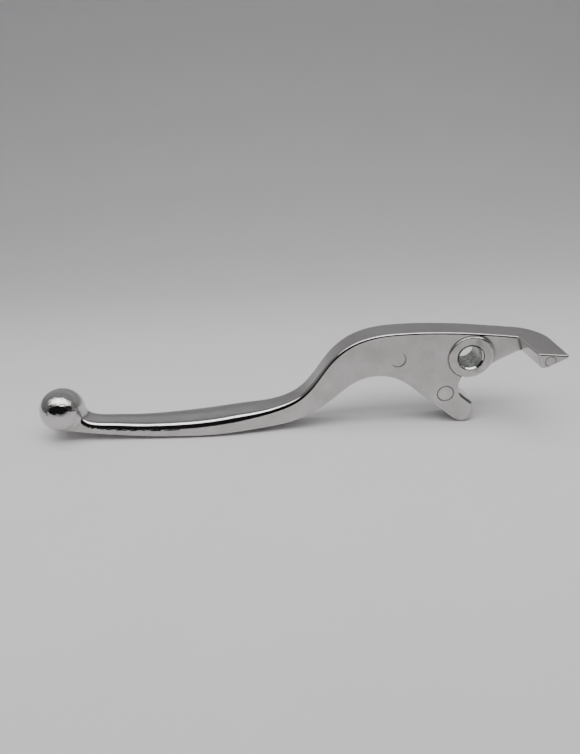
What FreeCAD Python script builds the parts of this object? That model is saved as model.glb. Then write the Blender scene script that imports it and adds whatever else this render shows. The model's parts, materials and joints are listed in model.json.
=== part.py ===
import FreeCAD, Part
import math
import os

# Motorcycle clutch lever, millimetres.  The origin is on the pivot axis, half way through
# the boss.  +Y runs along the pivot, +X towards the nose, -X towards the ball end, and +Z
# away from the handlebar.  The side profile lies in the XZ plane, the plan profile in XY.

# Pivot: a plain floating bush turns in the boss of the casting.
BOLT_BORE_RADIUS = 4.5
BUSH_OUTER_RADIUS = 5.1
BUSH_MOUTH_CHAMFER = 0.45
RUNNING_GAP = 0.03
BOSS_RADIUS = 8.45
BOSS_LENGTH = 12.8
BOSS_EDGE_CHAMFER = 0.3

# Ball at the rider's end of the blade.
BALL_RADIUS = 8.9
BALL_X = -163.8
BALL_Z = -16.2

# Side profile, read as X, Z.  Both edges run from the ball towards the nose.
UPPER_EDGE = [
    (-158.5, -14.6), (-155.6, -18.0), (-152.0, -20.4), (-146.0, -21.5), (-134.0, -22.4),
    (-121.0, -22.5), (-104.0, -21.6), (-87.0, -19.5), (-76.0, -17.4), (-68.0, -14.0), (-61.0, -7.2),
    (-54.8, 1.0), (-48.0, 6.8), (-39.0, 10.3), (-27.0, 11.4), (-9.0, 10.8), (13.0, 8.3),
]
LOWER_EDGE = [
    (-163.0, -23.4), (-156.0, -24.7), (-141.0, -26.5), (-130.0, -27.4), (-119.0, -27.8),
    (-108.0, -27.9), (-98.0, -27.6), (-87.0, -26.8), (-72.0, -25.0), (-61.0, -20.3),
    (-51.0, -12.9), (-43.5, -7.7), (-36.0, -6.3), (-29.0, -7.7), (-20.3, -13.8),
]

# Push arm, below the boss.  Its flat pad bears on the pushrod of the release mechanism.
ARM_TIP_X = -0.8
ARM_TIP_Z = -24.3
ARM_TIP_RADIUS = 4.5
ARM_TIP_ANGLES_DEG = (229.0, -60.0, 30.0)
PAD_LOW = (2.6, -20.4)
PAD_HIGH = (-2.0, -16.5)
ARM_THROAT = [PAD_HIGH, (-3.4, -14.4), (-3.7, -12.0), (-2.4, -8.0)]

# Short arm, on the nose side of the boss.
SHORT_ARM_ROOT = (2.0, -5.8)
SHORT_ARM_END = (13.0, -1.6)

# Plan profile.  The grip part of the blade is wider than the plate around the pivot.
PLATE_HALF_WIDTH = 5.5
PLATE_START_X = -74.0
BLADE_HALF_WIDTHS = [
    (-176.0, 4.5), (-152.0, 5.2), (-132.0, 6.2), (-115.0, 7.0), (-100.0, 7.2), (-86.0, 6.4),
]
BLADE_MIDDLE_Z = -24.5
BLADE_EDGE_RADIUS = 2.5
PLATE_EDGE_RADIUS = 0.8

# Nose: a wedge-section bar that turns a right angle about its inner corner, towards -Y.
NOSE_CORNER_X = 18.7
NOSE_END_Y = -22.6
NOSE_WIDTH = 11.4
NOSE_INNER_TOP = 7.4
NOSE_OUTER_TOP = 6.2
NOSE_OUTER_BOTTOM = 4.6
NOSE_INNER_BOTTOM = 1.4
NOSE_BOTTOM_FLAT = 3.9
NOSE_FACE_LEAN = 1.9
NOSE_END_RADIUS = 0.5

# Round marks that the ejector pins of the die leave on the casting: X, Z, radius.
PIN_MARK_DEPTH = 0.15
PLATE_PIN_MARKS = [(-28.3, 0.6, 3.0), (-8.8, -15.4, 3.1)]
NOSE_PIN_MARK = (23.7, 4.1, 1.9)

# Working lengths that only have to reach past the casting.
SLAB_HALF = 8.0
SLAB_LOW_Z = -40.0
SLAB_HEIGHT = 80.0
MARK_OVERRUN = 1.0
Y_AXIS = FreeCAD.Vector(0.0, 1.0, 0.0)
Z_AXIS = FreeCAD.Vector(0.0, 0.0, 1.0)


def side(point, y=0.0):
    """A point of the side profile as a vector in the plane at y."""
    return FreeCAD.Vector(point[0], y, point[1])


def line(start, end):
    """One straight edge between two vectors."""
    return Part.LineSegment(start, end).toShape()


def smooth(points):
    """One smooth edge through vectors."""
    curve = Part.BSplineCurve()
    curve.interpolate(points)
    return curve.toShape()


def face_of(edges):
    """The flat face inside a closed chain of edges."""
    return Part.Face(Part.Wire(Part.__sortEdges__(edges)))


def arm_tip_edge(y):
    """The round tip of the push arm, from its long back to its pad."""
    points = []
    for angle_deg in ARM_TIP_ANGLES_DEG:
        angle = math.radians(angle_deg)
        x = ARM_TIP_X + ARM_TIP_RADIUS * math.cos(angle)
        z = ARM_TIP_Z + ARM_TIP_RADIUS * math.sin(angle)
        points.append(side((x, z), y))
    return Part.Arc(*points).toShape()


def side_profile():
    """The side profile of blade, plate, push arm and short arm as a thick slab."""
    y = -SLAB_HALF
    tip = arm_tip_edge(y)
    tip_back = tip.Vertexes[0].Point
    tip_front = tip.Vertexes[-1].Point
    corner = side(SHORT_ARM_END, y)
    edges = [
        smooth([side(point, y) for point in UPPER_EDGE]),
        line(side(UPPER_EDGE[-1], y), corner),
        line(corner, side(SHORT_ARM_ROOT, y)),
        line(side(SHORT_ARM_ROOT, y), side(ARM_THROAT[-1], y)),
        smooth([side(point, y) for point in ARM_THROAT]),
        line(side(PAD_HIGH, y), side(PAD_LOW, y)),
        line(side(PAD_LOW, y), tip_front),
        tip,
        line(tip_back, side(LOWER_EDGE[-1], y)),
        smooth([side(point, y) for point in LOWER_EDGE]),
        line(side(LOWER_EDGE[0], y), side(UPPER_EDGE[0], y)),
    ]
    return face_of(edges).extrude(Y_AXIS * (2.0 * SLAB_HALF))


def plan_profile():
    """The plan profile as a tall slab, which trims the side profile to width."""
    edges = []
    for sign in (-1.0, 1.0):
        points = [FreeCAD.Vector(x, sign * half, SLAB_LOW_Z) for x, half in BLADE_HALF_WIDTHS]
        points.append(FreeCAD.Vector(PLATE_START_X, sign * PLATE_HALF_WIDTH, SLAB_LOW_Z))
        end = FreeCAD.Vector(SHORT_ARM_END[0], sign * PLATE_HALF_WIDTH, SLAB_LOW_Z)
        blade = Part.BSplineCurve()
        blade.interpolate(points, PeriodicFlag=False,
                          InitialTangent=FreeCAD.Vector(1.0, sign * 0.02, 0.0),
                          FinalTangent=FreeCAD.Vector(1.0, 0.0, 0.0))
        edges.append(blade.toShape())
        edges.append(line(points[-1], end))
    front, back = edges[0], edges[2]
    edges.append(line(front.Vertexes[0].Point, back.Vertexes[0].Point))
    edges.append(line(edges[1].Vertexes[-1].Point, edges[3].Vertexes[-1].Point))
    return face_of(edges).extrude(Z_AXIS * SLAB_HEIGHT)


def outline_edges(solid, upper):
    """The long edges round both flat sides: the upper edge of the casting, or the others."""
    found = []
    for edge in solid.Edges:
        box = edge.BoundBox
        if box.YLength > PLATE_HALF_WIDTH or box.XLength < PLATE_EDGE_RADIUS / 2.0:
            continue
        middle = edge.valueAt((edge.FirstParameter + edge.LastParameter) / 2.0)
        blade_top = middle.x < PLATE_START_X and middle.z > BLADE_MIDDLE_Z
        plate_top = box.ZMax > UPPER_EDGE[-1][1] - PLATE_EDGE_RADIUS
        if upper == (blade_top or plate_top):
            found.append(edge)
    return found


def blade_and_plate():
    """Blade, plate and both arms: one slab with rounded edges, widest at the grip."""
    slab = side_profile().common(plan_profile()).Solids[0]
    slab = slab.makeFillet(BLADE_EDGE_RADIUS, PLATE_EDGE_RADIUS, outline_edges(slab, True))
    return slab.makeFillet(PLATE_EDGE_RADIUS, outline_edges(slab, False))


def nose_section(inner_bottom_offset):
    """The wedge section across the nose, as offset from its inner corner and height."""
    return [
        (0.0, NOSE_INNER_TOP),
        (NOSE_WIDTH, NOSE_OUTER_TOP),
        (NOSE_WIDTH, NOSE_OUTER_BOTTOM),
        (NOSE_BOTTOM_FLAT, NOSE_INNER_BOTTOM),
        (inner_bottom_offset, NOSE_INNER_BOTTOM),
    ]


def closed_wire(points):
    """A closed wire of straight edges through vectors."""
    return Part.makePolygon(points + points[:1])


def nose():
    """The transition from the short arm, the quarter turn and the straight end."""
    corner_y = -PLATE_HALF_WIDTH
    root_x, root_low = SHORT_ARM_END
    root_top = UPPER_EDGE[-1][1]
    root = closed_wire([
        FreeCAD.Vector(root_x, -PLATE_HALF_WIDTH, root_top),
        FreeCAD.Vector(root_x, PLATE_HALF_WIDTH, root_top),
        FreeCAD.Vector(root_x, PLATE_HALF_WIDTH, root_low),
        FreeCAD.Vector(root_x, corner_y + NOSE_BOTTOM_FLAT, root_low),
        FreeCAD.Vector(root_x, -PLATE_HALF_WIDTH, root_low),
    ])
    turn_start = closed_wire([
        FreeCAD.Vector(NOSE_CORNER_X, corner_y + offset, z) for offset, z in nose_section(0.0)
    ])
    transition = Part.makeLoft([root, turn_start], True, True)
    across = closed_wire([
        FreeCAD.Vector(NOSE_CORNER_X + offset, corner_y, z)
        for offset, z in nose_section(NOSE_FACE_LEAN)
    ])
    corner = FreeCAD.Vector(NOSE_CORNER_X, corner_y, 0.0)
    turn_section = closed_wire([
        FreeCAD.Vector(NOSE_CORNER_X + offset, corner_y, z) for offset, z in nose_section(0.0)
    ])
    turn = Part.Face(turn_section).revolve(corner, Z_AXIS, 90.0)
    straight = Part.Face(across).extrude(Y_AXIS * (NOSE_END_Y - corner_y))
    end_edges = [e for e in straight.Edges if e.BoundBox.YMax < NOSE_END_Y + NOSE_END_RADIUS]
    straight = straight.makeFillet(NOSE_END_RADIUS, end_edges)
    return transition.fuse([turn, straight])


def boss():
    """The round boss of the casting, proud of the plate on both sides."""
    cylinder = Part.makeCylinder(BOSS_RADIUS, BOSS_LENGTH, side((0.0, 0.0), -BOSS_LENGTH / 2.0), Y_AXIS)
    rims = [e for e in cylinder.Edges if e.BoundBox.YLength < BOSS_EDGE_CHAMFER]
    return cylinder.makeChamfer(BOSS_EDGE_CHAMFER, rims)


def pin_marks():
    """Shallow round recesses of the ejector pins, as solids to cut away."""
    depth = PIN_MARK_DEPTH + MARK_OVERRUN
    marks = []
    for x, z, radius in PLATE_PIN_MARKS:
        start = side((x, z), PIN_MARK_DEPTH - PLATE_HALF_WIDTH)
        marks.append(Part.makeCylinder(radius, depth, start, -Y_AXIS))
    x, z, radius = NOSE_PIN_MARK
    marks.append(Part.makeCylinder(radius, depth, side((x, z), NOSE_END_Y + PIN_MARK_DEPTH), -Y_AXIS))
    return marks


def lever_casting():
    """The one-piece casting with its bush bore."""
    ball = Part.makeSphere(BALL_RADIUS, side((BALL_X, BALL_Z)))
    solid = blade_and_plate().fuse([ball, boss(), nose()])
    bore_radius = BUSH_OUTER_RADIUS + RUNNING_GAP
    bore = Part.makeCylinder(bore_radius, 2.0 * BOSS_LENGTH, side((0.0, 0.0), -BOSS_LENGTH), Y_AXIS)
    return solid.cut([bore] + pin_marks()).removeSplitter()


def pivot_bush():
    """The plain bush, as long as the boss, with a wide chamfer in each mouth."""
    start = side((0.0, 0.0), -BOSS_LENGTH / 2.0)
    outside = Part.makeCylinder(BUSH_OUTER_RADIUS, BOSS_LENGTH, start, Y_AXIS)
    inside = Part.makeCylinder(BOLT_BORE_RADIUS, BOSS_LENGTH, start, Y_AXIS)
    bush = outside.cut(inside)
    mouths = []
    for edge in bush.Edges:
        if edge.BoundBox.YLength < BUSH_MOUTH_CHAMFER and edge.Curve.Radius < BUSH_OUTER_RADIUS:
            mouths.append(edge)
    return bush.makeChamfer(BUSH_MOUTH_CHAMFER, mouths)


def main():
    """Write one STEP file for each piece."""
    os.makedirs("parts", exist_ok=True)
    for name, piece in (("lever_casting", lever_casting()), ("pivot_bush", pivot_bush())):
        solid = piece.Solids[0]
        print(name, "solids", len(piece.Solids), "valid", solid.isValid(), "mm3", round(solid.Volume))
        solid.exportStep(f"parts/{name}.step")


main()
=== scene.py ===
import json
import logging
import math
from collections.abc import Callable, Sequence
from dataclasses import dataclass, field
from enum import Enum

import bmesh
import bpy
import numpy as np
from mathutils import Matrix, Vector


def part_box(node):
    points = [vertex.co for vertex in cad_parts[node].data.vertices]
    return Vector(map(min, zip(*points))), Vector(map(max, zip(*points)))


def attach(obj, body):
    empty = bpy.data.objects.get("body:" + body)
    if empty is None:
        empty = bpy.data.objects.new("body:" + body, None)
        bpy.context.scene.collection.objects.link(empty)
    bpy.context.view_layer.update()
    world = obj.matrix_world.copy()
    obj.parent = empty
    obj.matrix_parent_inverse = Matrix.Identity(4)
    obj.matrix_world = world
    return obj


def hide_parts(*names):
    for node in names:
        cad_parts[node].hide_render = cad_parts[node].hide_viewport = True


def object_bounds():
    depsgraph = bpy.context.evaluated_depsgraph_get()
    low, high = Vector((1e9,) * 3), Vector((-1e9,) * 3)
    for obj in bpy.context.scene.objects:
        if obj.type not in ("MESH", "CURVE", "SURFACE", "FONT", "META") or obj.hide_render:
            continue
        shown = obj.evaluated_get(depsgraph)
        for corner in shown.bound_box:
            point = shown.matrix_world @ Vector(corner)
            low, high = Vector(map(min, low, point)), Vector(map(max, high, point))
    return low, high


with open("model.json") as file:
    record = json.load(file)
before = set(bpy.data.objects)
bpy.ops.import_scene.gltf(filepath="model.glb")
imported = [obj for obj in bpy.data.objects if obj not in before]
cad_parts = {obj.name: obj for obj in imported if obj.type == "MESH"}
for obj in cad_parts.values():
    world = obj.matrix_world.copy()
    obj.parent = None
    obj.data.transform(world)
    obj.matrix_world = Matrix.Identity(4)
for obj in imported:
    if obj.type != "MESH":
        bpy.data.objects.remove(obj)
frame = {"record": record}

CAD_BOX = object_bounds()

LOG = logging.getLogger("clutch_lever")
MM = 0.001
Array = np.ndarray
Pair = tuple[float, float]
Triple = tuple[float, float, float]
Colour = tuple[float, float, float, float]
Points = Sequence[Pair]
Field = Callable[[Array, Array, Array], Array]


# ---------------------------------------------------------------- shape arithmetic


def round_min(a: Array, b: Array, radius: Array | float) -> Array:
    """Join two solids with a round fillet in the corner between them.

    Args:
        a: Signed distance to the first solid, negative inside, in millimetres.
        b: Signed distance to the second solid.
        radius: Radius of the fillet.

    Returns:
        Signed distance to the joined solid.
    """
    near_a = np.maximum(radius - a, 0.0)
    near_b = np.maximum(radius - b, 0.0)
    return np.maximum(radius, np.minimum(a, b)) - np.hypot(near_a, near_b)


def round_max(a: Array, b: Array, radius: Array | float) -> Array:
    """Keep what two solids share and round the edge between them.

    Args:
        a: Signed distance to the first solid, negative inside, in millimetres.
        b: Signed distance to the second solid.
        radius: Radius of the rounded edge.

    Returns:
        Signed distance to the shared solid.
    """
    return -round_min(-a, -b, radius)


def ease(value: Array, start: float, end: float) -> Array:
    """Go smoothly from 0 at start to 1 at end.

    Args:
        value: Where to read the step.
        start: Value at which the step begins.
        end: Value at which the step is complete.

    Returns:
        Numbers from 0 to 1.
    """
    t = np.clip((value - start) / (end - start), 0.0, 1.0)
    return t * t * (3.0 - 2.0 * t)


def spline_through(points: Points, per_span: int) -> Array:
    """Draw a natural cubic spline through points in a plane.

    Args:
        points: The points, in order.
        per_span: Samples between one point and the next.

    Returns:
        An array of samples, one row for each, which ends on the last point.
    """
    knots = np.asarray(points, float)
    run = np.hypot(*np.diff(knots, axis=0).T)
    count = len(knots)
    system = np.eye(count)
    right = np.zeros((count, 2))
    for i in range(1, count - 1):
        system[i, i - 1:i + 2] = run[i - 1], 2.0 * (run[i - 1] + run[i]), run[i]
        rise = (knots[i + 1] - knots[i]) / run[i] - (knots[i] - knots[i - 1]) / run[i - 1]
        right[i] = 6.0 * rise
    bend = np.linalg.solve(system, right)
    samples = []
    for i in range(count - 1):
        t = np.linspace(0.0, 1.0, per_span, endpoint=False)[:, None]
        s = 1.0 - t
        curve = (t ** 3 - t) * bend[i + 1] + (s ** 3 - s) * bend[i]
        samples.append(s * knots[i] + t * knots[i + 1] + curve * run[i] ** 2 / 6.0)
    samples.append(knots[-1:])
    return np.concatenate(samples)


class OutlineTable:
    """The signed distance to a closed outline, kept on a fine grid and read smoothly."""

    STEP = 0.25
    MARGIN = 6.0
    TINY = 1e-12

    def __init__(self, outline: Array) -> None:
        """Measure the outline.

        Args:
            outline: Corners of the closed outline in order, in millimetres.
        """
        self.low = outline.min(axis=0) - self.MARGIN
        high = outline.max(axis=0) + self.MARGIN
        across = np.arange(self.low[0], high[0], self.STEP)
        up = np.arange(self.low[1], high[1], self.STEP)
        self.values = np.stack([self._column(outline, x, up) for x in across])

    @classmethod
    def _column(cls, outline: Array, x: float, up: Array) -> Array:
        """Measure one upright column of the grid.

        Args:
            outline: Corners of the closed outline.
            x: Place of the column.
            up: Heights in the column.

        Returns:
            Signed distances, negative inside the outline.
        """
        start = outline
        along = np.roll(outline, -1, axis=0) - start
        to_x = x - start[:, 0]
        to_z = up[:, None] - start[None, :, 1]
        length_sq = np.maximum((along ** 2).sum(axis=1), cls.TINY)
        share = np.clip((to_x * along[:, 0] + to_z * along[:, 1]) / length_sq, 0.0, 1.0)
        gap = np.hypot(to_x - share * along[:, 0], to_z - share * along[:, 1]).min(axis=1)
        crossed = (to_x >= 0.0) != (to_x - along[:, 0] >= 0.0)
        steep = np.where(np.abs(along[:, 0]) < cls.TINY, 1.0, along[:, 0])
        height = start[:, 1] + to_x / steep * along[:, 1]
        above = (height[None, :] > up[:, None]) & crossed[None, :]
        return np.where(above.sum(axis=1) % 2 == 1, -gap, gap)

    @staticmethod
    def _weights(t: Array) -> list[Array]:
        """The four cubic weights around a place between grid points.

        Args:
            t: How far past the grid point, from 0 to 1.

        Returns:
            One weight for each of the four points around it.
        """
        return [
            ((-0.5 * t + 1.0) * t - 0.5) * t,
            (1.5 * t - 2.5) * t * t + 1.0,
            ((-1.5 * t + 2.0) * t + 0.5) * t,
            (0.5 * t - 0.5) * t * t,
        ]

    def read(self, x: Array, z: Array) -> Array:
        """Read the distance anywhere.

        Args:
            x: Places along the outline's first axis.
            z: Places along its second axis.

        Returns:
            Signed distances in millimetres.
        """
        columns, rows = self.values.shape
        u = np.clip((x - self.low[0]) / self.STEP, 1.0, columns - 3.0)
        v = np.clip((z - self.low[1]) / self.STEP, 1.0, rows - 3.0)
        i = np.floor(u).astype(int)
        j = np.floor(v).astype(int)
        across = self._weights(u - i)
        up = self._weights(v - j)
        total = 0.0
        for a in range(4):
            line = sum(up[b] * self.values[i + a - 1, j + b - 1] for b in range(4))
            total = total + across[a] * line
        return total


# ---------------------------------------------------------------- parts of the casting


@dataclass(frozen=True)
class BladeAndPlate:
    """Blade, neck, plate, push arm and short arm: one slab cut to a side outline.

    Sizes are in millimetres from the pivot, in the side view as X, Z.
    """

    upper_edge: Points = (
        (-158.2, -12.6), (-157.0, -15.4), (-155.6, -17.8), (-153.5, -19.8), (-150.4, -20.9),
        (-146.0, -21.5), (-134.0, -22.4), (-121.0, -22.5), (-104.0, -21.6), (-87.0, -19.5),
        (-76.0, -17.4), (-68.0, -14.0), (-61.0, -7.2), (-54.8, 1.0), (-48.0, 6.8),
        (-39.0, 10.3), (-27.0, 11.4), (-9.0, 10.8), (13.0, 8.3), (20.2, 7.2),
    )
    lower_edge: Points = (
        (-163.0, -23.4), (-156.0, -24.7), (-141.0, -26.5), (-130.0, -27.4), (-119.0, -27.8),
        (-108.0, -27.9), (-98.0, -27.6), (-87.0, -26.8), (-72.0, -25.0), (-61.0, -20.3),
        (-51.0, -12.9), (-43.5, -7.7), (-36.0, -6.3), (-29.0, -7.7), (-20.3, -13.8),
    )
    arm_tip: Pair = (-1.2, -24.3)
    arm_tip_radius: float = 4.5
    arm_tip_turn: Pair = (229.0, 390.0)
    pad_low: Pair = (2.6, -20.4)
    throat: Points = ((-2.0, -16.5), (-3.4, -14.4), (-3.7, -12.0), (-2.4, -8.0))
    short_arm_root: Pair = (2.0, -6.6)
    short_arm_end: Pair = (20.2, 1.85)
    half_widths: Points = (
        (-176.0, 4.6), (-152.0, 5.3), (-132.0, 6.2), (-115.0, 7.1), (-100.0, 7.4), (-86.0, 6.6),
        (-74.0, 5.5), (-66.0, 5.5), (24.0, 5.5),
    )
    crown: float = 0.8
    crown_fades: tuple[float, float, float, float] = (-158.0, -140.0, -96.0, -80.0)
    edge_radii: Points = (
        (-176.0, 2.6), (-92.0, 2.9), (-72.0, 2.4), (-56.0, 1.6), (-44.0, 1.2), (-34.0, 1.0), (24.0, 0.9),
    )
    lower_edge_radius: float = 0.6
    top_blend: float = 0.4
    pad_edge_radius: float = 1.5
    pad_reach: tuple[float, float, float, float] = (-6.0, -3.0, -13.5, -11.5)
    per_span: int = 24

    def outline(self) -> Array:
        """The closed side outline, from the ball along the top and back underneath.

        Returns:
            Corners in order, in millimetres.
        """
        start, end = (math.radians(angle) for angle in self.arm_tip_turn)
        turn = np.linspace(end, start, 2 * self.per_span)
        tip = np.stack([np.cos(turn), np.sin(turn)], axis=1) * self.arm_tip_radius + self.arm_tip
        return np.concatenate([
            spline_through(self.upper_edge, self.per_span),
            [self.short_arm_end, self.short_arm_root],
            spline_through(self.throat, self.per_span)[::-1],
            [self.pad_low],
            tip,
            spline_through(self.lower_edge, self.per_span)[::-1],
        ])

    def shape(self) -> Field:
        """Build the slab's distance function.

        Returns:
            Signed distance function of the slab.
        """
        table = OutlineTable(self.outline())
        top = spline_through(self.upper_edge, self.per_span)
        low = spline_through(self.lower_edge, self.per_span)
        plan = spline_through(self.half_widths, self.per_span)
        fade_in, full, still_full, fade_out = self.crown_fades

        def distance(x: Array, y: Array, z: Array) -> Array:
            """Signed distance to the slab.

            Args:
                x: Places along X, in millimetres.
                y: Places along Y.
                z: Places along Z.

            Returns:
                Signed distances in millimetres, negative inside.
            """
            half = np.interp(x, plan[:, 0], plan[:, 1])
            middle = 0.5 * (np.interp(x, *top.T) + np.interp(x, *low.T))
            is_top = ease(z - middle, -self.top_blend, self.top_blend)
            crown = self.crown * ease(x, fade_in, full) * (1.0 - ease(x, still_full, fade_out))
            lift = crown * is_top * (1.0 - np.minimum((y / half) ** 2, 1.0))
            top_radius = np.interp(x, *np.transpose(self.edge_radii))
            radius = self.lower_edge_radius + is_top * (top_radius - self.lower_edge_radius)
            pad = ease(x, *self.pad_reach[:2]) * (1.0 - ease(z, *self.pad_reach[2:]))
            radius = radius + pad * (self.pad_edge_radius - radius)
            return round_max(table.read(x, z) - lift, np.abs(y) - half, radius)

        return distance


@dataclass(frozen=True)
class BallEnd:
    """The ball at the rider's end of the blade."""

    centre: Pair = (-163.8, -16.2)
    radius: float = 8.9
    neck_radius: float = 1.4

    def join(self, solid: Field) -> Field:
        """Blend the ball into the end of the blade.

        Args:
            solid: Distance function of the casting without its ball.

        Returns:
            Distance function with the ball.
        """

        def distance(x: Array, y: Array, z: Array) -> Array:
            """Signed distance to the casting with its ball."""
            ball = np.sqrt((x - self.centre[0]) ** 2 + y ** 2 + (z - self.centre[1]) ** 2)
            return round_min(solid(x, y, z), ball - self.radius, self.neck_radius)

        return distance


@dataclass(frozen=True)
class Nose:
    """The wedge-section bar that turns a right angle off the short arm, towards -Y."""

    corner: Pair = (18.7, -5.5)
    end_y: float = -22.6
    width: float = 11.6
    inner_top: float = 7.4
    bottom_flat: float = 3.9
    bottom_rise: float = 0.46
    lean: float = 0.345
    inner_taper: float = 0.053
    upper_line: Points = ((8.0, 9.0), (13.0, 8.3), (18.7, 7.4), (30.5, 6.15))
    lower_line: Points = ((2.0, -6.6), (18.7, 1.4), (60.0, 1.4))
    turn_run: float = 3.0
    edge_run: float = 2.0
    arm_edge_radius: float = 0.9
    nose_edge_radius: float = 0.5
    end_edge_radius: float = 0.75
    tip_radius: float = 0.5
    root_radius: float = 0.5
    takes_over: Pair = (9.0, 12.5)

    def join(self, solid: Field) -> Field:
        """Let the nose carry on from the short arm.

        Args:
            solid: Distance function of the slab that the short arm belongs to.

        Returns:
            Distance function with the nose.
        """

        def distance(x: Array, y: Array, z: Array) -> Array:
            """Signed distance to slab and nose."""
            share = ease(x, *self.takes_over)
            return solid(x, y, z) * (1.0 - share) + self.distance(x, y, z) * share

        return distance

    def distance(self, x: Array, y: Array, z: Array) -> Array:
        """Signed distance to the nose and the end of the short arm.

        Args:
            x: Places along X, in millimetres.
            y: Places along Y.
            z: Places along Z.

        Returns:
            Signed distances in millimetres, negative inside.
        """
        past, behind = x - self.corner[0], y - self.corner[1]
        around = np.where(behind < 0.0, past, np.hypot(past, behind))
        reach = np.where(past < 0.0, behind, around)
        turned = ease(past, -self.turn_run, 0.0)
        top = np.interp(x, *np.transpose(self.upper_line))
        wedge = turned * self.bottom_rise * np.maximum(reach - self.bottom_flat, 0.0)
        low = np.interp(x, *np.transpose(self.lower_line)) + wedge
        inner_x = (self.inner_top - z) * self.lean - past - self.inner_taper * (y - self.end_y)
        inner = round_min(-behind, inner_x * math.cos(math.atan(self.lean)), self.root_radius)
        finer = ease(past, 0.0, self.edge_run) * (self.nose_edge_radius - self.arm_edge_radius)
        edge = self.arm_edge_radius + finer
        section = round_max(z - top, inner, edge)
        section = round_max(section, (low - z) * math.cos(math.atan(self.bottom_rise)), self.nose_edge_radius)
        section = round_max(section, reach - self.width, edge + turned * (self.tip_radius - edge))
        return round_max(section, self.end_y - y, self.end_edge_radius)


@dataclass(frozen=True)
class PivotBoss:
    """The round boss, proud of the plate on both sides, and the bore through it."""

    radius: float = 8.45
    half_length: float = 6.4
    bore_radius: float = 5.13
    edge_radius: float = 0.35
    rim_radius: float = 0.12
    root_radius: float = 0.45
    soft_root: float = 1.0
    soft_run: float = 6.0

    def join(self, solid: Field) -> Field:
        """Add the boss to the plate and bore it.

        Args:
            solid: Distance function of the plate.

        Returns:
            Distance function with boss and bore.
        """

        def distance(x: Array, y: Array, z: Array) -> Array:
            """Signed distance to the bored casting.

            Args:
                x: Places along X, in millimetres.
                y: Places along Y.
                z: Places along Z.

            Returns:
                Signed distances in millimetres, negative inside.
            """
            out = np.hypot(x, z)
            boss = round_max(out - self.radius, np.abs(y) - self.half_length, self.edge_radius)
            root = self.root_radius + self.soft_root * ease(x, 0.0, self.soft_run)
            joined = round_min(solid(x, y, z), boss, root)
            return round_max(joined, self.bore_radius - out, self.rim_radius)

        return distance


@dataclass(frozen=True)
class PinMark:
    """The witness ring that an ejector pin of the die leaves on a flat face."""

    x: float
    z: float
    face_y: float
    radius: float
    groove: float = 0.2
    shallow: float = 0.0
    deep_side_deg: float = 0.0
    sink: float = 0.05
    fine_border: float = 0.6

    def ring(self, x: Array, y: Array, z: Array) -> Array:
        """Distance to the line of the ring, which leaves the face on its shallow side.

        Args:
            x: Places along X, in millimetres.
            y: Places along Y.
            z: Places along Z.

        Returns:
            Distances in millimetres.
        """
        side, up = x - self.x, z - self.z
        turn = np.arctan2(up, side) - math.radians(self.deep_side_deg)
        lift = self.shallow * 0.5 * (1.0 - np.cos(turn))
        return np.hypot(np.hypot(side, up) - self.radius, y - self.face_y + lift)

    def cut(self, solid: Field) -> Field:
        """Cut the ring and the slightly sunk disc inside it.

        Args:
            solid: Distance function of the casting.

        Returns:
            Distance function with the mark.
        """

        def distance(x: Array, y: Array, z: Array) -> Array:
            """Signed distance to the marked casting.

            Args:
                x: Places along X, in millimetres.
                y: Places along Y.
                z: Places along Z.

            Returns:
                Signed distances in millimetres, negative inside.
            """
            out = np.hypot(x - self.x, z - self.z)
            disc = np.maximum(out - self.radius, y - self.face_y - self.sink)
            cut = self.ring(x, y, z) - self.groove
            if self.shallow == 0.0:
                cut = np.minimum(cut, disc)
            return np.maximum(solid(x, y, z), -cut)

        return distance


# ---------------------------------------------------------------- from shape to mesh


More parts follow.
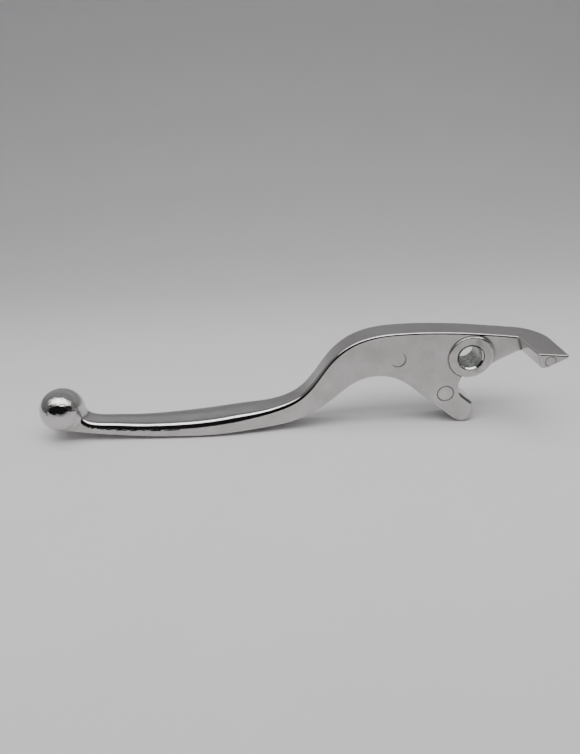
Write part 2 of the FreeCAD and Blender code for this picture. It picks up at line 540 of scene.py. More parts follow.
class SurfaceNet:
    """A net of quads laid over the surface of a distance function."""

    CORNERS = [(i, j, k) for i in (0, 1) for j in (0, 1) for k in (0, 1)]
    PROBE = 0.02
    BEND_PROBE = 0.3
    SPARE_CELLS = 2.0
    LEAST_SLOPE_SQ = 0.05
    LAST_DROPS = 2

    def __init__(self, shape: Field, low: Vector, high: Vector, step: float) -> None:
        """Lay the net.

        Args:
            shape: Signed distance function, in millimetres.
            low: Lowest corner of the space to search, in millimetres.
            high: Highest corner of that space.
            step: Side of one cell, in millimetres.
        """
        self.shape = shape
        spare = self.SPARE_CELLS * step
        axes = [np.arange(low[a] - spare, high[a] + spare, step) for a in range(3)]
        values = shape(axes[0][:, None, None], axes[1][None, :, None], axes[2][None, None, :])
        cells = tuple(n - 1 for n in values.shape)
        corners = {c: values[tuple(slice(o, o + n) for o, n in zip(c, cells))] for c in self.CORNERS}
        inside = sum((v < 0.0).astype(np.int8) for v in corners.values())
        where = np.argwhere((inside > 0) & (inside < len(self.CORNERS)))
        self.points = self._cell_points(where, corners, axes, step)
        number = np.full(cells, -1, np.int64)
        number[tuple(where.T)] = np.arange(len(where))
        self.quads = self._cell_quads(values < 0.0, number)

    def _cell_points(self, where: Array, corners: dict, axes: list, step: float) -> Array:
        """Put one point in each cell that the surface crosses, at the mean of its crossings.

        Args:
            where: Indices of the crossed cells.
            corners: Field values at each of a cell's eight corners.
            axes: Grid places along the three axes.
            step: Side of one cell.

        Returns:
            One point for each crossed cell.
        """
        pick = {c: v[tuple(where.T)] for c, v in corners.items()}
        total = np.zeros((len(where), 3))
        hits = np.zeros(len(where))
        for start in self.CORNERS:
            for axis in range(3):
                if start[axis]:
                    continue
                end = tuple(1 if a == axis else start[a] for a in range(3))
                a, b = pick[start], pick[end]
                crossed = (a < 0.0) != (b < 0.0)
                place = np.tile(np.array(start, float), (len(where), 1))
                place[:, axis] = a / np.where(crossed, a - b, 1.0)
                total += place * crossed[:, None]
                hits += crossed
        base = np.stack([axes[a][where[:, a]] for a in range(3)], axis=1)
        return base + total / hits[:, None] * step

    @staticmethod
    def _cell_quads(inside: Array, number: Array) -> Array:
        """Join the four cells round each grid edge that the surface crosses.

        Args:
            inside: Whether each grid point is inside the solid.
            number: Point number of each cell.

        Returns:
            Corner numbers of the quads, wound outwards.
        """
        found = []
        for axis in range(3):
            a, b = (axis + 1) % 3, (axis + 2) % 3
            first = np.take(inside, range(inside.shape[axis] - 1), axis)
            second = np.take(inside, range(1, inside.shape[axis]), axis)
            at = np.argwhere(first != second)
            at = at[(at[:, a] > 0) & (at[:, b] > 0)]
            at = at[(at[:, a] < number.shape[a]) & (at[:, b] < number.shape[b])]
            step_a, step_b = np.eye(3, dtype=int)[a], np.eye(3, dtype=int)[b]
            ring = [number[tuple((at - back).T)] for back in (0 * step_a, step_a, step_a + step_b, step_b)]
            quads = np.stack(ring, axis=1)
            leaving = first[tuple(at.T)]
            quads[~leaving] = quads[~leaving][:, ::-1]
            found.append(quads)
        return np.concatenate(found)

    @staticmethod
    def slope(shape: Field, points: Array, probe: float) -> Array:
        """The gradient of a distance function at points.

        Args:
            shape: Signed distance function.
            points: Places, one row for each.
            probe: Half the length over which the slope is measured.

        Returns:
            One gradient for each point.
        """
        parts = []
        for axis in range(3):
            shift = np.eye(3)[axis] * probe
            rise = shape(*(points + shift).T) - shape(*(points - shift).T)
            parts.append(rise / (2.0 * probe))
        return np.stack(parts, axis=1)

    @classmethod
    def drop_on(cls, shape: Field, points: Array, rounds: int) -> Array:
        """Move points along the slope until they lie on the surface.

        Args:
            shape: Signed distance function.
            points: Places near the surface.
            rounds: How many times to move them.

        Returns:
            Places on the surface.
        """
        for _ in range(rounds):
            slope = cls.slope(shape, points, cls.PROBE)
            size_sq = np.maximum((slope ** 2).sum(axis=1), cls.LEAST_SLOPE_SQ)
            points = points - slope * (shape(*points.T) / size_sq)[:, None]
        return points

    def settle(self, rounds: int) -> None:
        """Even the net out over the surface.

        Args:
            rounds: How often each point moves half way to the mean of its neighbours.
        """
        pairs = np.concatenate([self.quads[:, [i, (i + 1) % 4]] for i in range(4)])
        count = np.bincount(pairs.ravel(), minlength=len(self.points))[:, None]
        for _ in range(rounds):
            total = np.zeros_like(self.points)
            for axis in range(3):
                total[:, axis] = np.bincount(
                    pairs[:, 0], self.points[pairs[:, 1], axis], len(self.points)
                ) + np.bincount(pairs[:, 1], self.points[pairs[:, 0], axis], len(self.points))
            self.points = 0.5 * self.points + 0.5 * total / count
            self.points = self.drop_on(self.shape, self.points, 1)
        self.points = self.drop_on(self.shape, self.points, self.LAST_DROPS)

    @classmethod
    def bend(cls, shape: Field, points: Array) -> Array:
        """How sharply the surface bends at points: positive on edges, negative in corners.

        Args:
            shape: Signed distance function.
            points: Places on the surface.

        Returns:
            The sum of both curvatures, in 1/mm.
        """
        total = -6.0 * shape(*points.T)
        for axis in range(3):
            shift = np.eye(3)[axis] * cls.BEND_PROBE
            total = total + shape(*(points + shift).T) + shape(*(points - shift).T)
        return total / cls.BEND_PROBE ** 2


@dataclass(frozen=True)
class RoughMesh:
    """A mesh before it becomes a Blender object, in millimetres."""

    name: str
    points: Array
    faces: list[tuple[int, ...]]

    def make(self) -> bpy.types.Object:
        """Link the mesh to the scene as a smooth-shaded object in metres.

        Returns:
            The new object.
        """
        mesh = bpy.data.meshes.new(self.name)
        mesh.from_pydata((self.points * MM).tolist(), [], self.faces)
        mesh.shade_smooth()
        made = bpy.data.objects.new(self.name, mesh)
        bpy.context.scene.collection.objects.link(made)
        return made


def mesh_points(mesh: bpy.types.Mesh) -> Array:
    """All vertices of a mesh, in millimetres.

    Args:
        mesh: The mesh to read.

    Returns:
        One row for each vertex.
    """
    flat = np.zeros(len(mesh.vertices) * 3, np.float32)
    mesh.vertices.foreach_get("co", flat)
    return flat.reshape(-1, 3).astype(float) / MM


def write_mask(mesh: bpy.types.Mesh, name: str, values: Array) -> None:
    """Keep one number for each vertex, for the materials to read.

    Args:
        mesh: The mesh to write on.
        name: Name of the attribute.
        values: One number for each vertex.
    """
    attribute = mesh.attributes.new(name, "FLOAT", "POINT")
    attribute.data.foreach_set("value", values.astype(np.float32))


# ---------------------------------------------------------------- the two pieces


@dataclass
class LeverCasting:
    """The one-piece casting: slab, nose, boss and ball, with the marks of its die."""

    node: str = "lever_casting"
    body: str = "lever"
    slot: str = "cast_aluminium"
    slab: BladeAndPlate = field(default_factory=BladeAndPlate)
    nose: Nose = field(default_factory=Nose)
    boss: PivotBoss = field(default_factory=PivotBoss)
    ball: BallEnd = field(default_factory=BallEnd)
    marks: tuple[PinMark, ...] = (
        PinMark(x=-28.3, z=0.6, face_y=-5.83, radius=3.0, shallow=0.45, deep_side_deg=-45.0),
        PinMark(x=-8.8, z=-15.4, face_y=-5.77, radius=3.2),
        PinMark(x=23.7, z=4.1, face_y=-22.6, radius=1.9, groove=0.12, fine_border=8.0),
    )
    cell: float = 0.42
    quick_cell: float = 0.7
    even_rounds: int = 4
    fine_depth: float = 0.9
    fine_cuts: int = 3
    worn_bend: float = 0.35
    hollow_bend: float = 1.2
    ring_dark: float = 2.4
    ring_fade: float = 1.4
    mouth_reach: float = 0.22
    mouth_fade: float = 0.1
    ball_fade: Pair = (0.3, 3.0)
    top_fade: Pair = (0.25, 0.9)
    top_share: float = 0.6

    def shape(self) -> Field:
        """Put the casting's shape together.

        Returns:
            Signed distance function of the whole casting.
        """
        solid = self.nose.join(self.slab.shape())
        solid = self.ball.join(self.boss.join(solid))
        for mark in self.marks:
            solid = mark.cut(solid)
        return solid

    def build(self) -> bpy.types.Object:
        """Mesh the casting and hang it on its body in place of its CAD node.

        Returns:
            The casting.
        """
        shape = self.shape()
        low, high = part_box(self.node)
        cell = self.cell
        net = SurfaceNet(shape, low / MM, high / MM, cell)
        net.settle(self.even_rounds)
        piece = RoughMesh("lever_body", net.points, net.quads.tolist()).make()
        self._refine(piece.data)
        points = SurfaceNet.drop_on(shape, mesh_points(piece.data), SurfaceNet.LAST_DROPS)
        piece.data.vertices.foreach_set("co", (points * MM).astype(np.float32).ravel())
        self._write_masks(piece.data, shape, points)
        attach(piece, self.body)
        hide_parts(self.node)
        return piece

    def _refine(self, mesh: bpy.types.Mesh) -> None:
        """Split the quads at the pin marks and the nose's end, which are finer than the net.

        Args:
            mesh: The casting's mesh.
        """
        grid = bmesh.new()
        grid.from_mesh(mesh)
        edges = set()
        for mark in self.marks:
            reach = mark.radius + mark.fine_border
            for face in grid.faces:
                middle = face.calc_center_median() / MM
                if abs(middle.y - mark.face_y) > self.fine_depth:
                    continue
                if math.hypot(middle.x - mark.x, middle.z - mark.z) < reach:
                    edges.update(face.edges)
        bmesh.ops.subdivide_edges(grid, edges=list(edges), cuts=self.fine_cuts, use_grid_fill=True)
        grid.to_mesh(mesh)
        grid.free()

    def _write_masks(self, mesh: bpy.types.Mesh, shape: Field, points: Array) -> None:
        """Write exact normals and the masks that the finish reads, among them painted shade in creases,
        pin-mark grooves and the bore mouth.

        Args:
            mesh: The finished mesh.
            shape: Distance function of the casting.
            points: The mesh's vertices, in millimetres.
        """
        slope = SurfaceNet.slope(shape, points, SurfaceNet.PROBE)
        normals = slope / np.linalg.norm(slope, axis=1)[:, None]
        mesh.normals_split_custom_set_from_vertices(normals.tolist())
        bend = SurfaceNet.bend(shape, points)
        write_mask(mesh, "worn_edge", np.clip(bend / self.worn_bend, 0.0, 1.0))
        # Painted shade: darken concave creases, the pin-mark grooves and the mouth of the bore, where shade
        # falls.
        rings = np.min([mark.ring(*points.T) / mark.groove for mark in self.marks], axis=0)
        past_bore = np.hypot(points[:, 0], points[:, 2]) - self.boss.bore_radius
        dips = [
            -bend / self.hollow_bend,
            self.ring_dark - self.ring_fade * rings,
            (self.mouth_reach - past_bore) / self.mouth_fade,
        ]
        write_mask(mesh, "hollow", np.clip(np.max(dips, axis=0), 0.0, 1.0))
        write_mask(mesh, "buffed", self._buffed(points, normals))

    def _buffed(self, points: Array, normals: Array) -> Array:
        """How far the buffing wheel got: full on the ball, less on top, least on the flats.

        Args:
            points: The mesh's vertices, in millimetres.
            normals: The surface's normal at each vertex.

        Returns:
            One number for each vertex, from 0 to 1.
        """
        centre = np.array([self.ball.centre[0], 0.0, self.ball.centre[1]])
        from_ball = np.linalg.norm(points - centre, axis=1) - self.ball.radius
        on_ball = 1.0 - ease(from_ball, *self.ball_fade)
        on_top = ease(1.0 - np.abs(normals[:, 1]), *self.top_fade) * self.top_share
        return np.maximum(on_ball, on_top)


@dataclass
class PivotBush:
    """The plain turned bush in the boss, chamfered in both mouths."""

    node: str = "pivot_bush"
    body: str = "bush"
    slot: str = "bush_steel"
    outer_radius: float = 5.1
    half_length: float = 6.4
    chamfer: float = 0.45
    edge_break: float = 0.06
    sides: int = 160
    sharp_deg: float = 30.0
    tool_marks: int = 34
    tool_mark_depth: float = 0.012

    def profile(self, bore_radius: float) -> Array:
        """The closed section of the bush as radius and place along the axis.

        Args:
            bore_radius: Radius of the bore, in millimetres.

        Returns:
            One row for each corner of the section.
        """
        inner_end = self.half_length - self.chamfer
        outer_end = self.half_length - self.edge_break
        marks = np.linspace(-inner_end, inner_end, 2 * self.tool_marks + 1)
        wall = [(bore_radius + self.tool_mark_depth * (i % 2), y) for i, y in enumerate(marks)]
        outside = [
            (bore_radius + self.chamfer, self.half_length),
            (self.outer_radius - self.edge_break, self.half_length),
            (self.outer_radius, outer_end),
        ]
        return np.array(wall + outside + [(radius, -y) for radius, y in reversed(outside)])

    def build(self) -> bpy.types.Object:
        """Turn the section round the pivot and hang it on its body.

        Returns:
            The bush.
        """
        mounts = {mount["name"]: mount for mount in frame["record"]["mounts"]}
        section = self.profile(mounts["pivot_bore"]["dims"]["r_mm"])
        angles = np.linspace(0.0, 2.0 * math.pi, self.sides, endpoint=False)
        rings = [
            np.stack([section[:, 0] * math.cos(a), section[:, 1], section[:, 0] * math.sin(a)], axis=1)
            for a in angles
        ]
        count = len(section)
        faces = []
        for side in range(self.sides):
            here, there = side * count, (side + 1) % self.sides * count
            for i in range(count):
                after = (i + 1) % count
                faces.append((here + i, there + i, there + after, here + after))
        piece = RoughMesh("bush_body", np.concatenate(rings), faces).make()
        piece.data.set_sharp_from_angle(angle=math.radians(self.sharp_deg))
        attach(piece, self.body)
        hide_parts(self.node)
        return piece


# ---------------------------------------------------------------- finishes


class NodeSheet:
    """A node tree with short calls for adding and joining nodes."""

    MIX_INPUTS = (0, 6, 7)
    MIX_OUTPUT = 2

    def __init__(self, tree: bpy.types.NodeTree) -> None:
        """Start on a tree.

        Args:
            tree: The node tree to fill.
        """
        self.tree = tree

    def add(self, kind: str, settings: dict | None = None, **inputs: object) -> bpy.types.Node:
        """Add one node.

        Args:
            kind: Blender's name of the node type.
            settings: Attributes to set on the node itself.
            inputs: Values or output sockets for its inputs, with _ for a space in a name.

        Returns:
            The new node.
        """
        node = self.tree.nodes.new(kind)
        for name, value in (settings or {}).items():
            setattr(node, name, value)
        for name, value in inputs.items():
            self.feed(node.inputs[name.replace("_", " ")], value)
        return node

    def feed(self, socket: bpy.types.NodeSocket, value: object) -> None:
        """Give a socket a value or a link.

        Args:
            socket: The input socket.
            value: A plain value, or the output socket that drives it.
        """
        if isinstance(value, bpy.types.NodeSocket):
            self.tree.links.new(value, socket)
        else:
            socket.default_value = value

    def math(self, operation: str, *values: object) -> bpy.types.NodeSocket:
        """Do one sum on values or sockets.

        Args:
            operation: Blender's name of the operation.
            values: One to three operands.

        Returns:
            The result's socket.
        """
        node = self.add("ShaderNodeMath", {"operation": operation})
        for socket, value in zip(node.inputs, values):
            self.feed(socket, value)
        return node.outputs[0]

    def spread(self, value: object, low: object, high: object) -> bpy.types.NodeSocket:
        """Carry 0 to 1 over to low to high.

        Args:
            value: Socket that runs from 0 to 1.
            low: Result at 0.
            high: Result at 1.

        Returns:
            The result's socket.
        """
        node = self.add("ShaderNodeMapRange", Value=value, To_Min=low, To_Max=high)
        return node.outputs["Result"]

    def blend(self, share: object, first: object, second: object) -> bpy.types.NodeSocket:
        """Mix two colours.

        Args:
            share: How much of the second colour shows.
            first: Colour at 0.
            second: Colour at 1.

        Returns:
            The mixed colour's socket.
        """
        node = self.add("ShaderNodeMix", {"data_type": "RGBA"})
        for place, value in zip(self.MIX_INPUTS, (share, first, second)):
            self.feed(node.inputs[place], value)
        return node.outputs[self.MIX_OUTPUT]


class GroupKind(Enum):
    """The surface effects that are kept as node groups."""

    HAIRLINES = "hairlines"
    TUMBLED = "tumbled_mottle"


class SurfaceEffects:
    """Builds each effect once, as a node group."""

    CELL_SHARE = 0.35
    LEAST_LINES = 0.35

    def __init__(self) -> None:
        """Build every group."""
        self.groups = {
            GroupKind.HAIRLINES: self._hairlines(),
            GroupKind.TUMBLED: self._tumbled(),
        }

    @staticmethod
    def _open(kind: GroupKind, numbers: dict[str, float], outputs: Sequence[str]) -> NodeSheet:
        """Start a group with a Place input, number inputs and number outputs.

        Args:
            kind: Which effect it is.
            numbers: Default of each number input.
            outputs: Names of the outputs.

        Returns:
            The group's node sheet.
        """
        tree = bpy.data.node_groups.new(kind.value, "ShaderNodeTree")
        tree.interface.new_socket("Place", in_out="INPUT", socket_type="NodeSocketVector")
        for name, default in numbers.items():
            socket = tree.interface.new_socket(name, in_out="INPUT", socket_type="NodeSocketFloat")
            socket.default_value = default
        for name in outputs:
            tree.interface.new_socket(name, in_out="OUTPUT", socket_type="NodeSocketFloat")
        return NodeSheet(tree)

    def _hairlines(self) -> NodeSheet:
        """Fine polishing lines: noise drawn out along one direction, broken up by patches.

        Returns:
            The group's node sheet.
        """
        sheet = self._open(GroupKind.HAIRLINES, {"Fineness": 6.0, "Length": 9.0, "Coverage": 0.5}, ["Height"])
        given = sheet.add("NodeGroupInput").outputs
        along = sheet.math("DIVIDE", given["Fineness"], given["Length"])
        stretch = sheet.add("ShaderNodeCombineXYZ", X=along, Y=given["Fineness"], Z=given["Fineness"])
        place = sheet.add("ShaderNodeVectorMath", {"operation": "MULTIPLY"})
        sheet.feed(place.inputs[0], given["Place"])
        sheet.feed(place.inputs[1], stretch.outputs[0])
        lines = sheet.add("ShaderNodeTexNoise", Vector=place.outputs[0], Scale=1.0, Detail=3.0, Roughness=0.7)
        patches = sheet.add("ShaderNodeTexNoise", Vector=given["Place"], Scale=0.12, Detail=2.0)
        shown = sheet.math("MULTIPLY", patches.outputs["Fac"], given["Coverage"])
        height = sheet.math("MULTIPLY", lines.outputs["Fac"], sheet.math("ADD", shown, self.LEAST_LINES))
        sheet.add("NodeGroupOutput", Height=height)
        return sheet

    def _tumbled(self) -> NodeSheet:
        """The faint clouding and small dents that tumbling leaves on a casting.

        Returns:
            The group's node sheet.
        """
        sheet = self._open(GroupKind.TUMBLED, {"Size": 3.0, "Grain": 0.35}, ["Cloud", "Dents"])
        given = sheet.add("NodeGroupInput").outputs
        wide = sheet.math("DIVIDE", 1.0, given["Size"])
        fine = sheet.math("DIVIDE", 1.0, given["Grain"])
        cloud = sheet.add("ShaderNodeTexNoise", Vector=given["Place"], Scale=wide, Detail=4.0, Roughness=0.6)
        grain = sheet.add("ShaderNodeTexNoise", Vector=given["Place"], Scale=fine, Detail=2.0, Roughness=0.55)
        dents = sheet.add("ShaderNodeTexVoronoi", {"feature": "SMOOTH_F1"}, Vector=given["Place"], Scale=wide)
        cells = sheet.math("MULTIPLY", dents.outputs["Distance"], self.CELL_SHARE)
        height = sheet.math("ADD", cells, grain.outputs["Fac"])
        sheet.add("NodeGroupOutput", Cloud=cloud.outputs["Fac"], Dents=height)
        return sheet

    def place(self, sheet: NodeSheet, kind: GroupKind, **inputs: object) -> bpy.types.Node:
        """Put a shared effect into a material.

        Args:
            sheet: The material's node sheet.
            kind: Which effect.
            inputs: Its inputs.

        Returns:
            The group node.
        """
        node = sheet.add("ShaderNodeGroup", {"node_tree": self.groups[kind].tree})
        for name, value in inputs.items():
            sheet.feed(node.inputs[name], value)
        return node


def millimetre_place(sheet: NodeSheet) -> bpy.types.NodeSocket:
    """The place on the object in millimetres.

    Args:
        sheet: The material's node sheet.

    Returns:
        The place's socket.
    """
    here = sheet.add("ShaderNodeTexCoord").outputs["Object"]
    scaled = sheet.add("ShaderNodeVectorMath", {"operation": "SCALE"}, Scale=1.0 / MM)
    sheet.feed(scaled.inputs[0], here)
    return scaled.outputs[0]


def new_material(name: str) -> tuple[bpy.types.Material, NodeSheet, bpy.types.Node]:
    """Make a material with one plain shader.

    Args:
        name: Name of the material.

    Returns:
        The material, its node sheet and its shader node.
    """
    material = bpy.data.materials.new(name)
    material.use_nodes = True
    shader = next(n for n in material.node_tree.nodes if n.type == "BSDF_PRINCIPLED")
    return material, NodeSheet(material.node_tree), shader


def mask(sheet: NodeSheet, name: str) -> bpy.types.NodeSocket:
    """Read one of the masks that a mesh carries."""
    return sheet.add("ShaderNodeAttribute", {"attribute_name": name}).outputs["Fac"]


@dataclass(frozen=True)
class CastAluminium:
    """Bright tumbled die-cast aluminium, buffed on the ball and along the edges, with painted shade in its
    creases, pin-mark grooves and bore mouth.
    """

    bright: Colour = (0.57, 0.553, 0.54, 1.0)
    dull: Colour = (0.41, 0.395, 0.38, 1.0)
    # Painted shade colour for creases, pin-mark grooves and the bore mouth.
    crease_shade: Colour = (0.12, 0.115, 0.11, 1.0)
    flat_roughness: float = 0.33
    buffed_roughness: float = 0.13
    edge_roughness: float = 0.07
    dent_depth: float = 0.009
    line_depth: float = 0.006
    ripple_depth: float = 0.3
    cloud_reach: Pair = (-0.6, 1.6)
    clouded_share: Pair = (0.75, 1.25)
    dull_share: float = 0.8
    crease_shade_share: float = 0.8
    least_matt: float = 0.05
    mean_dent: float = 0.65
    mean_cloud: float = 0.5
    ball_only: float = 6.0

    def material(self, effects: SurfaceEffects) -> bpy.types.Material:
        """Build the finish.

        Args:
            effects: The shared node groups.

        Returns:
            The material.
        """
        made, sheet, shader = new_material("cast_aluminium")
        here = millimetre_place(sheet)
        tumbled = effects.place(sheet, GroupKind.TUMBLED, Place=here, Size=8.0, Grain=0.5)
        lines = effects.place(sheet, GroupKind.HAIRLINES, Place=here, Fineness=5.0, Length=14.0, Coverage=0.9)
        buffed, edge, hollow = mask(sheet, "buffed"), mask(sheet, "worn_edge"), mask(sheet, "hollow")
        cloud = sheet.spread(tumbled.outputs["Cloud"], *self.cloud_reach)
        dulled = sheet.math("MULTIPLY", cloud, sheet.math("SUBTRACT", 1.0, buffed))
        colour = sheet.blend(sheet.math("MULTIPLY", dulled, self.dull_share), self.bright, self.dull)
        # Painted shade: darken the creases, pin-mark grooves and bore mouth with the shade colour.
        colour = sheet.blend(sheet.math("MULTIPLY", hollow, self.crease_shade_share), colour, self.crease_shade)
        sheet.feed(shader.inputs["Base Color"], colour)
        shader.inputs["Metallic"].default_value = 1.0
        base = sheet.spread(buffed, self.flat_roughness, self.buffed_roughness)
        share = sheet.spread(tumbled.outputs["Cloud"], *self.clouded_share)
        clouded = sheet.math("MULTIPLY", base, share)
        rough = sheet.spread(edge, clouded, self.edge_roughness)
        sheet.feed(shader.inputs["Roughness"], rough)
        matt = sheet.math("SUBTRACT", 1.0 + self.least_matt, sheet.math("MAXIMUM", buffed, edge))
        centred = sheet.math("SUBTRACT", tumbled.outputs["Dents"], self.mean_dent)
        dents = sheet.math("MULTIPLY", centred, sheet.math("MULTIPLY", matt, self.dent_depth))
        drawn = sheet.math("MULTIPLY", lines.outputs["Height"], self.line_depth)
        ripples = effects.place(sheet, GroupKind.TUMBLED, Place=here, Size=2.6, Grain=0.6)
        on_ball = sheet.math("MULTIPLY", sheet.math("POWER", buffed, self.ball_only), self.ripple_depth)
        swell = sheet.math("SUBTRACT", ripples.outputs["Cloud"], self.mean_cloud)
        wavy = sheet.math("MULTIPLY", swell, on_ball)
        relief = sheet.math("ADD", wavy, sheet.math("ADD", dents, drawn))
        height = sheet.math("MULTIPLY", relief, MM)
        bump = sheet.add("ShaderNodeBump", Strength=1.0, Distance=1.0, Height=height)
        sheet.feed(shader.inputs["Normal"], bump.outputs["Normal"])
        return made


@dataclass(frozen=True)
class TurnedSteel:
    """Plain turned steel, dulled in the bore, with painted shade round its outer edge where it meets the
    boss.
    """

    bright: Colour = (0.56, 0.58, 0.54, 1.0)
    dark: Colour = (0.15, 0.165, 0.14, 1.0)
    # Painted shade colour for the joint line between bush and boss.
    joint_shade: Colour = (0.07, 0.07, 0.065, 1.0)
    joint_shade_radius: float = 4.96
    roughness: float = 0.28
    rim_roughness: float = 0.08
    rim_start: float = 5.9
    groove_pitch: float = 0.22
    chatter_turns: float = 45.0
    mark_depth: float = 0.008
    dark_share: Pair = (0.15, 0.9)
    turn_weight: float = 0.4
    chatter_weight: float = 1.5

    def material(self, effects: SurfaceEffects) -> bpy.types.Material:
        """Build the finish.

        Args:
            effects: The shared node groups.

        Returns:
            The material.
        """
        made, sheet, shader = new_material("turned_steel")
        here = millimetre_place(sheet)
        tumbled = effects.place(sheet, GroupKind.TUMBLED, Place=here, Size=3.0, Grain=0.25)
        split = sheet.add("ShaderNodeSeparateXYZ", Vector=here)
        per_mm = 2.0 * math.pi / self.groove_pitch
        turns = sheet.math("SINE", sheet.math("MULTIPLY", split.outputs["Y"], per_mm))
        chatter = sheet.math("SINE", sheet.math("MULTIPLY", tumbled.outputs["Cloud"], self.chatter_turns))
        rim = sheet.math("GREATER_THAN", sheet.math("ABSOLUTE", split.outputs["Y"]), self.rim_start)
        wall = sheet.math("SUBTRACT", 1.0, rim)
        share = sheet.math("MULTIPLY", wall, sheet.spread(chatter, *self.dark_share))
        across = sheet.math("MULTIPLY", split.outputs["X"], split.outputs["X"])
        upward = sheet.math("MULTIPLY", split.outputs["Z"], split.outputs["Z"])
        # Painted shade: darken everything outside the shade radius, which is the joint line round the bush's
        # end where it meets the boss.
        joint_shade = sheet.math("GREATER_THAN", sheet.math("ADD", across, upward), self.joint_shade_radius**2)
        colour = sheet.blend(joint_shade, sheet.blend(share, self.bright, self.dark), self.joint_shade)
        sheet.feed(shader.inputs["Base Color"], colour)
        shader.inputs["Metallic"].default_value = 1.0
        sheet.feed(shader.inputs["Roughness"], sheet.spread(rim, self.roughness, self.rim_roughness))
        turned = sheet.math("MULTIPLY", turns, self.turn_weight)
        uneven = sheet.math("ADD", turned, sheet.math("MULTIPLY", chatter, self.chatter_weight))
        height = sheet.math("MULTIPLY", sheet.math("MULTIPLY", uneven, wall), self.mark_depth * MM)
        bump = sheet.add("ShaderNodeBump", Strength=1.0, Distance=1.0, Height=height)
        sheet.feed(shader.inputs["Normal"], bump.outputs["Normal"])
        return made


@dataclass(frozen=True)
class PalePaper:
    """The matt pale ground that the lever lies on."""

    light: Colour = (0.70, 0.685, 0.70, 1.0)
    shade: Colour = (0.66, 0.65, 0.66, 1.0)
    roughness: float = 0.75

    def material(self, effects: SurfaceEffects) -> bpy.types.Material:
        """Build the finish.

        Args:
            effects: The shared node groups.

        Returns:
            The material.
        """
        made, sheet, shader = new_material("pale_paper")
        tumbled = effects.place(sheet, GroupKind.TUMBLED, Place=millimetre_place(sheet), Size=40.0, Grain=0.8)
        sheet.feed(shader.inputs["Base Color"], sheet.blend(tumbled.outputs["Cloud"], self.light, self.shade))
        shader.inputs["Roughness"].default_value = self.roughness
        return made


# ---------------------------------------------------------------- ground, light and camera


@dataclass(frozen=True)
class SoftBox:
    """One rectangular soft light, in metres, watts and degrees.

    A light that isn't mirrored brightens matt things and leaves no reflection on metal.
    """

    name: str
    place: Triple
    aim: Triple
    size: Pair
    power: float
    spread_deg: float
    tint: Triple = (1.0, 1.0, 1.0)
    mirrored: bool = True

    def hang(self) -> None:
        """Put the light in the scene, facing its aim."""
        light = bpy.data.lights.new(self.name, "AREA")
        light.shape = "RECTANGLE"
        light.size, light.size_y = self.size
        light.energy = self.power
        light.color = self.tint
        light.spread = math.radians(self.spread_deg)
        hung = bpy.data.objects.new(self.name, light)
        hung.location = self.place
        hung.visible_glossy = self.mirrored
        ahead = Vector(self.aim) - Vector(self.place)
        hung.rotation_euler = ahead.to_track_quat("-Z", "Y").to_euler()
        bpy.context.scene.collection.objects.link(hung)


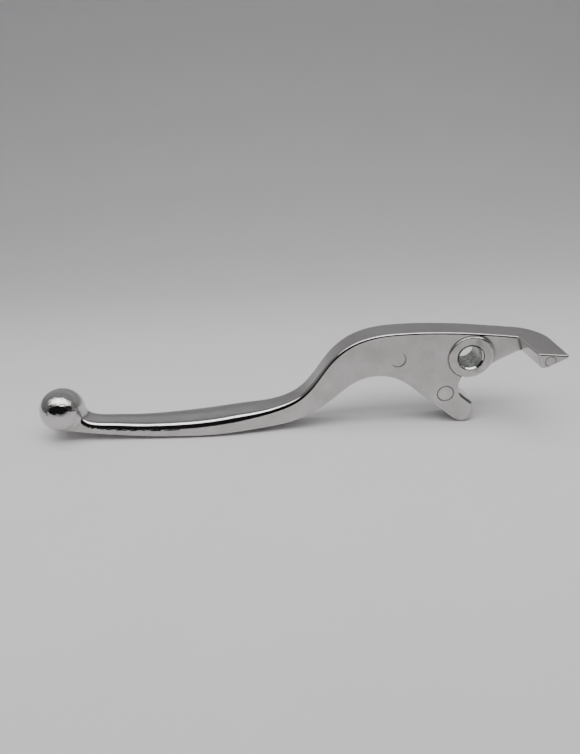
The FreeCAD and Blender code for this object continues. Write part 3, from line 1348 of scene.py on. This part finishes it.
@dataclass
class Studio:
    """A pale sweep of paper, soft light from above and a camera close in front."""

    boxes: tuple[SoftBox, ...] = (
        SoftBox("overhead_box", (-0.07, -0.15, 0.42), (-0.07, -0.06, 0.0), (1.15, 0.22), 1.75, 120.0),
        SoftBox(
            "front_fill", (-0.07, -0.5, 0.5), (-0.07, -0.02, 0.0), (1.3, 0.5), 1.15, 140.0, mirrored=False
        ),
        SoftBox(
            "high_panel", (-0.07, 0.3, 0.66), (-0.07, 0.0, 0.0), (1.8, 0.6), 1.1, 180.0, (0.95, 0.97, 1.0)
        ),
        SoftBox(
            "low_panel", (-0.07, 0.37, 0.31), (-0.07, 0.0, 0.29), (1.8, 0.26), 0.36, 180.0, (0.9, 0.95, 1.0)
        ),
        SoftBox(
            "back_fill", (-0.07, 0.06, 0.45), (-0.07, 0.06, 0.0), (0.9, 0.12), 0.2, 60.0, mirrored=False
        ),
        SoftBox("left_panel", (-1.0, -0.05, 0.35), (-0.07, -0.05, 0.0), (0.9, 0.6), 0.35, 180.0),
        SoftBox("right_panel", (0.9, -0.05, 0.35), (-0.07, -0.05, 0.0), (0.9, 0.6), 0.35, 180.0),
    )
    room_colour: Colour = (0.9, 0.93, 1.0, 1.0)
    room_strength: float = 0.015
    sweep_half_width: float = 2.4
    sweep_front: float = -1.6
    sweep_back: float = 0.2
    sweep_radius: float = 0.2
    sweep_height: float = 0.9
    sweep_steps: int = 24
    camera_place: Triple = (-0.0725, -0.2182, 0.0961)
    camera_pitch: float = 25.3
    camera_yaw: float = 0.5
    camera_roll: float = 2.9
    focal_share: float = 600.0 / 754.0
    sensor: float = 36.0
    clip_start: float = 0.01

    def build(self, effects: SurfaceEffects) -> None:
        """Build ground, lights, world and camera.

        Args:
            effects: The shared node groups.
        """
        self._ground(effects)
        self._lights()
        self._world()
        self._camera()

    def _ground(self, effects: SurfaceEffects) -> None:
        """The sweep: flat under the lever, curving up into a wall behind it.

        Args:
            effects: The shared node groups.
        """
        floor = CAD_BOX[0][2]
        line = [(self.sweep_front, floor)]
        for step in range(self.sweep_steps + 1):
            turn = 0.5 * math.pi * step / self.sweep_steps
            y = self.sweep_back + self.sweep_radius * math.sin(turn)
            line.append((y, floor + self.sweep_radius * (1.0 - math.cos(turn))))
        line.append((line[-1][0], floor + self.sweep_height))
        points = [(x, y, z) for x in (-self.sweep_half_width, self.sweep_half_width) for y, z in line]
        count = len(line)
        faces = [(i, i + count, i + count + 1, i + 1) for i in range(count - 1)]
        sweep = RoughMesh("paper_sweep", np.array(points) / MM, faces).make()
        sweep.data.materials.append(PalePaper().material(effects))

    def _lights(self) -> None:
        """Hang the box overhead, the panels behind and beside, and the two fills."""
        for box in self.boxes:
            box.hang()

    def _world(self) -> None:
        """A dark even room all round."""
        world = bpy.data.worlds.new("room")
        world.use_nodes = True
        ground = next(n for n in world.node_tree.nodes if n.type == "BACKGROUND")
        ground.inputs["Color"].default_value = self.room_colour
        ground.inputs["Strength"].default_value = self.room_strength
        bpy.context.scene.world = world

    def _camera(self) -> None:
        """The camera, level with neither axis: it looks down and is rolled a little."""
        pitch, yaw, roll = (math.radians(a) for a in (self.camera_pitch, self.camera_yaw, self.camera_roll))
        ahead = Vector((math.sin(yaw) * math.cos(pitch), math.cos(yaw) * math.cos(pitch), -math.sin(pitch)))
        level = Vector((math.cos(yaw), -math.sin(yaw), 0.0))
        upright = level.cross(ahead)
        right = math.cos(roll) * level - math.sin(roll) * upright
        up = math.sin(roll) * level + math.cos(roll) * upright
        lens = bpy.data.cameras.new("front_camera")
        lens.sensor_width = self.sensor
        lens.lens = self.focal_share * self.sensor
        lens.clip_start = self.clip_start
        camera = bpy.data.objects.new("front_camera", lens)
        facing = Matrix((right, up, -ahead)).transposed().to_4x4()
        camera.matrix_world = Matrix.Translation(self.camera_place) @ facing
        bpy.context.scene.collection.objects.link(camera)
        bpy.context.scene.camera = camera


def main() -> None:
    """Build every piece, dress it, and set the studio round it."""
    logging.basicConfig(level=logging.INFO, format="%(name)s: %(message)s")
    effects = SurfaceEffects()
    casting = LeverCasting().build()
    casting.data.materials.append(CastAluminium().material(effects))
    LOG.info("%s: %d faces", casting.name, len(casting.data.polygons))
    bush = PivotBush().build()
    bush.data.materials.append(TurnedSteel().material(effects))
    LOG.info("%s: %d faces", bush.name, len(bush.data.polygons))
    Studio().build(effects)


if __name__ == "__main__":
    main()
